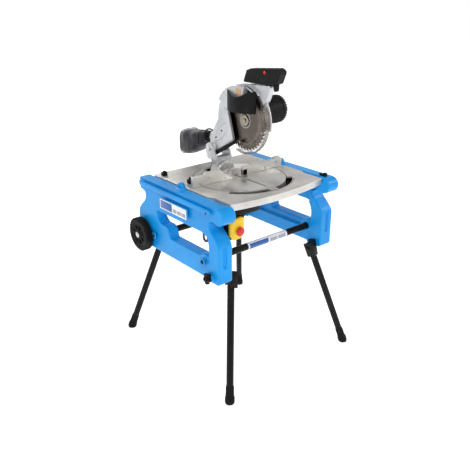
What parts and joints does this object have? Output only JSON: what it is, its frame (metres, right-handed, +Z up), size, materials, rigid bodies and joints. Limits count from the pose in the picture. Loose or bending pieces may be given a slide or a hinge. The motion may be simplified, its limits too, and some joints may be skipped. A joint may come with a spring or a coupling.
{
  "type": "flip-over mitre saw on folding stand",
  "caption": "Flip-over mitre saw: blue side frames on folding black legs, wheels, turning cast table with fence, and a hinged saw head with motor, guard and dust bag.",
  "frame": {"origin": "on the floor, under the middle of the stand", "axes": "+X to the operator's right, +Y away from the operator, +Z up"},
  "size_m": [0.746, 0.8049, 1.2926],
  "materials": {
    "blue_frame": "moulded structural plastic, satin gloss, fine moulding texture",
    "black_paint": "black powder coat",
    "black_plastic": "moulded black plastic, fine grain",
    "rubber": "soft black rubber",
    "tyre": "solid black rubber tyre",
    "cast_aluminium": "cast aluminium, silver paint, fine grain",
    "turned_aluminium": "faced in a lathe, fine circular marks",
    "bright_steel": "zinc plated steel",
    "blade_steel": "ground steel plate with a radial sheen",
    "switch_yellow": "moulded yellow plastic",
    "stop_red": "moulded red plastic",
    "start_green": "moulded green plastic",
    "clear_guard": "clear polycarbonate, slightly smoked",
    "bag_fabric": "black woven polyester"
  },
  "bodies": {
    "stand": {"right_side_frame": "blue_frame", "left_side_frame": "blue_frame", "front_cross_tube": "black_paint", "rear_cross_tube": "black_paint", "wheel_axle_right": "bright_steel", "wheel_axle_left": "bright_steel", "switch_box": "black_plastic", "switch_bracket": "black_paint", "cord_hook": "bright_steel", "flip_pin_right": "bright_steel", "flip_pin_left": "bright_steel", "leg_bracket_front_right": "black_paint", "leg_bracket_front_left": "black_paint", "leg_bracket_rear_right": "black_paint", "leg_bracket_rear_left": "black_paint"},
    "leg_front_right": {"leg_front_right": "black_paint", "foot_front_right": "rubber"},
    "lock_knob_front_right": {"leg_lock_knob_front_right": "black_plastic"},
    "leg_front_left": {"leg_front_left": "black_paint", "foot_front_left": "rubber"},
    "lock_knob_front_left": {"leg_lock_knob_front_left": "black_plastic"},
    "leg_rear_right": {"leg_rear_right": "black_paint", "foot_rear_right": "rubber"},
    "lock_knob_rear_right": {"leg_lock_knob_rear_right": "black_plastic"},
    "leg_rear_left": {"leg_rear_left": "black_paint", "foot_rear_left": "rubber"},
    "lock_knob_rear_left": {"leg_lock_knob_rear_left": "black_plastic"},
    "wheel_right": {"wheel_tyre_right": "tyre", "wheel_hub_right": "black_plastic"},
    "wheel_left": {"wheel_tyre_left": "tyre", "wheel_hub_left": "black_plastic"},
    "switch_cover": {"switch_cover": "switch_yellow"},
    "stop_button": {"stop_button": "stop_red"},
    "start_button": {"start_button": "start_green"},
    "table_latch": {"table_latch": "black_plastic"},
    "table": {"table_casting": "cast_aluminium", "fence": "cast_aluminium"},
    "mitre_clamp_knob": {"mitre_clamp_knob": "black_plastic"},
    "fence_knob": {"fence_knob": "black_plastic"},
    "turntable": {"turntable": "turned_aluminium", "kerf_insert": "cast_aluminium"},
    "bevel_support": {"bevel_support": "cast_aluminium", "chop_pivot_pin": "bright_steel"},
    "bevel_lever": {"bevel_lever": "black_plastic"},
    "head": {"head_casting": "cast_aluminium", "blade_shield": "black_plastic", "motor_housing": "black_plastic", "motor_cap": "black_plastic", "handle_shell_left": "black_plastic", "handle_shell_right": "black_plastic", "dust_port": "black_plastic", "dust_bag": "bag_fabric"},
    "spindle": {"spindle": "bright_steel", "saw_blade": "blade_steel", "arbor_flange": "bright_steel"},
    "armature": {"armature": "bright_steel"},
    "lower_guard": {"lower_guard": "clear_guard"},
    "guard_link": {"guard_link": "black_plastic"},
    "trigger": {"trigger": "black_plastic"},
    "lock_off_button": {"lock_off_button": "stop_red"}
  },
  "joints": [
    {"name": "leg_fold_front_right", "type": "hinge", "parent": "stand", "child": "leg_front_right", "pos_m": [0.234, -0.25, 0.487], "axis": [0.9663, 0.1704, 0.1929], "range_deg": [0, 107.23]},
    {"name": "leg_lock_front_right", "type": "hinge", "parent": "stand", "child": "lock_knob_front_right", "pos_m": [0.234, -0.25, 0.487], "axis": [0.9663, 0.1704, 0.1929], "range_deg": [-180, 180]},
    {"name": "leg_fold_front_left", "type": "hinge", "parent": "stand", "child": "leg_front_left", "pos_m": [-0.234, -0.25, 0.487], "axis": [0.9663, -0.1704, -0.1929], "range_deg": [0, 107.23]},
    {"name": "leg_lock_front_left", "type": "hinge", "parent": "stand", "child": "lock_knob_front_left", "pos_m": [-0.234, -0.25, 0.487], "axis": [-0.9663, 0.1704, 0.1929], "range_deg": [-180, 180]},
    {"name": "leg_fold_rear_right", "type": "hinge", "parent": "stand", "child": "leg_rear_right", "pos_m": [0.234, 0.25, 0.487], "axis": [-0.97, 0.1309, -0.2047], "range_deg": [0, 98.6]},
    {"name": "leg_lock_rear_right", "type": "hinge", "parent": "stand", "child": "lock_knob_rear_right", "pos_m": [0.234, 0.25, 0.487], "axis": [-0.97, 0.1309, -0.2047], "range_deg": [-180, 180]},
    {"name": "leg_fold_rear_left", "type": "hinge", "parent": "stand", "child": "leg_rear_left", "pos_m": [-0.234, 0.25, 0.487], "axis": [-0.97, -0.1309, 0.2047], "range_deg": [0, 98.6]},
    {"name": "leg_lock_rear_left", "type": "hinge", "parent": "stand", "child": "lock_knob_rear_left", "pos_m": [-0.234, 0.25, 0.487], "axis": [0.97, 0.1309, -0.2047], "range_deg": [-180, 180]},
    {"name": "wheel_spin_right", "type": "hinge", "parent": "stand", "child": "wheel_right", "pos_m": [0.348, 0.244, 0.549], "axis": [1, 0, 0], "continuous": true},
    {"name": "wheel_spin_left", "type": "hinge", "parent": "stand", "child": "wheel_left", "pos_m": [-0.348, 0.244, 0.549], "axis": [1, 0, 0], "continuous": true},
    {"name": "switch_cover_hinge", "type": "hinge", "parent": "stand", "child": "switch_cover", "pos_m": [-0.215, -0.256, 0.744], "axis": [-1, 0, 0], "range_deg": [0, 100]},
    {"name": "stop_press", "type": "slide", "parent": "switch_cover", "child": "stop_button", "axis": [0, 1, 0], "range_m": [0, 0.004], "stiffness_N_per_m": 400, "springref_m": -0.003},
    {"name": "start_press", "type": "slide", "parent": "stand", "child": "start_button", "axis": [0, 1, 0], "range_m": [0, 0.003], "stiffness_N_per_m": 400, "springref_m": -0.003},
    {"name": "latch_turn", "type": "hinge", "parent": "stand", "child": "table_latch", "pos_m": [0.291, -0.262, 0.815], "axis": [0, 0, 1], "range_deg": [0, 80]},
    {"name": "table_flip", "type": "hinge", "parent": "stand", "child": "table", "pos_m": [0, 0.01, 0.798], "axis": [-1, 0, 0], "range_deg": [0, 40]},
    {"name": "mitre_clamp_turn", "type": "hinge", "parent": "table", "child": "mitre_clamp_knob", "pos_m": [-0.24, 0.194, 0.82], "axis": [0, 0, 1], "range_deg": [-180, 180]},
    {"name": "fence_knob_turn", "type": "hinge", "parent": "table", "child": "fence_knob", "pos_m": [-0.238, 0.006, 0.83], "axis": [0, 0, 1], "range_deg": [-180, 180]},
    {"name": "mitre_turn", "type": "hinge", "parent": "table", "child": "turntable", "pos_m": [0, -0.03, 0.812], "axis": [0, 0, -1], "range_deg": [-45, 45]},
    {"name": "bevel_tilt", "type": "hinge", "parent": "turntable", "child": "bevel_support", "pos_m": [0, 0.097, 0.812], "axis": [0, -1, 0], "range_deg": [0, 45]},
    {"name": "bevel_lever_turn", "type": "hinge", "parent": "bevel_support", "child": "bevel_lever", "pos_m": [0, 0.155, 0.812], "axis": [0, 1, 0], "range_deg": [-30, 30]},
    {"name": "head_chop", "type": "hinge", "parent": "bevel_support", "child": "head", "pos_m": [0, 0.125, 0.915], "axis": [1, 0, 0], "range_deg": [0, 34.5], "stiffness_Nm_per_rad": 18, "springref_deg": -57.3},
    {"name": "blade_spin", "type": "hinge", "parent": "head", "child": "spindle", "pos_m": [0, -0.064, 1.063], "axis": [1, 0, 0], "continuous": true},
    {"name": "armature_spin", "type": "hinge", "parent": "head", "child": "armature", "pos_m": [0.1, -0.05, 1.08491], "axis": [1, 0, 0], "continuous": true},
    {"name": "guard_swing", "type": "hinge", "parent": "head", "child": "lower_guard", "pos_m": [0, -0.064, 1.063], "axis": [1, 0, 0], "range_deg": [-103.5, 0]},
    {"name": "link_swing", "type": "hinge", "parent": "bevel_support", "child": "guard_link", "pos_m": [-0.031, 0.096, 0.896], "axis": [1, 0, 0], "range_deg": [0, 30]},
    {"name": "trigger_pull", "type": "hinge", "parent": "head", "child": "trigger", "pos_m": [0, -0.24, 1.238], "axis": [1, 0, 0], "range_deg": [0, 8], "stiffness_Nm_per_rad": 0.4, "springref_deg": -14.32},
    {"name": "lock_off_press", "type": "slide", "parent": "head", "child": "lock_off_button", "axis": [1, 0, 0], "range_m": [0, 0.004], "stiffness_N_per_m": 300, "springref_m": -0.003}
  ],
  "couplings": [
    {"joint": "armature_spin", "follows": "blade_spin", "ratio": -3},
    {"joint": "guard_swing", "follows": "head_chop", "ratio": -3},
    {"joint": "link_swing", "follows": "head_chop", "ratio": 0.85}
  ]
}
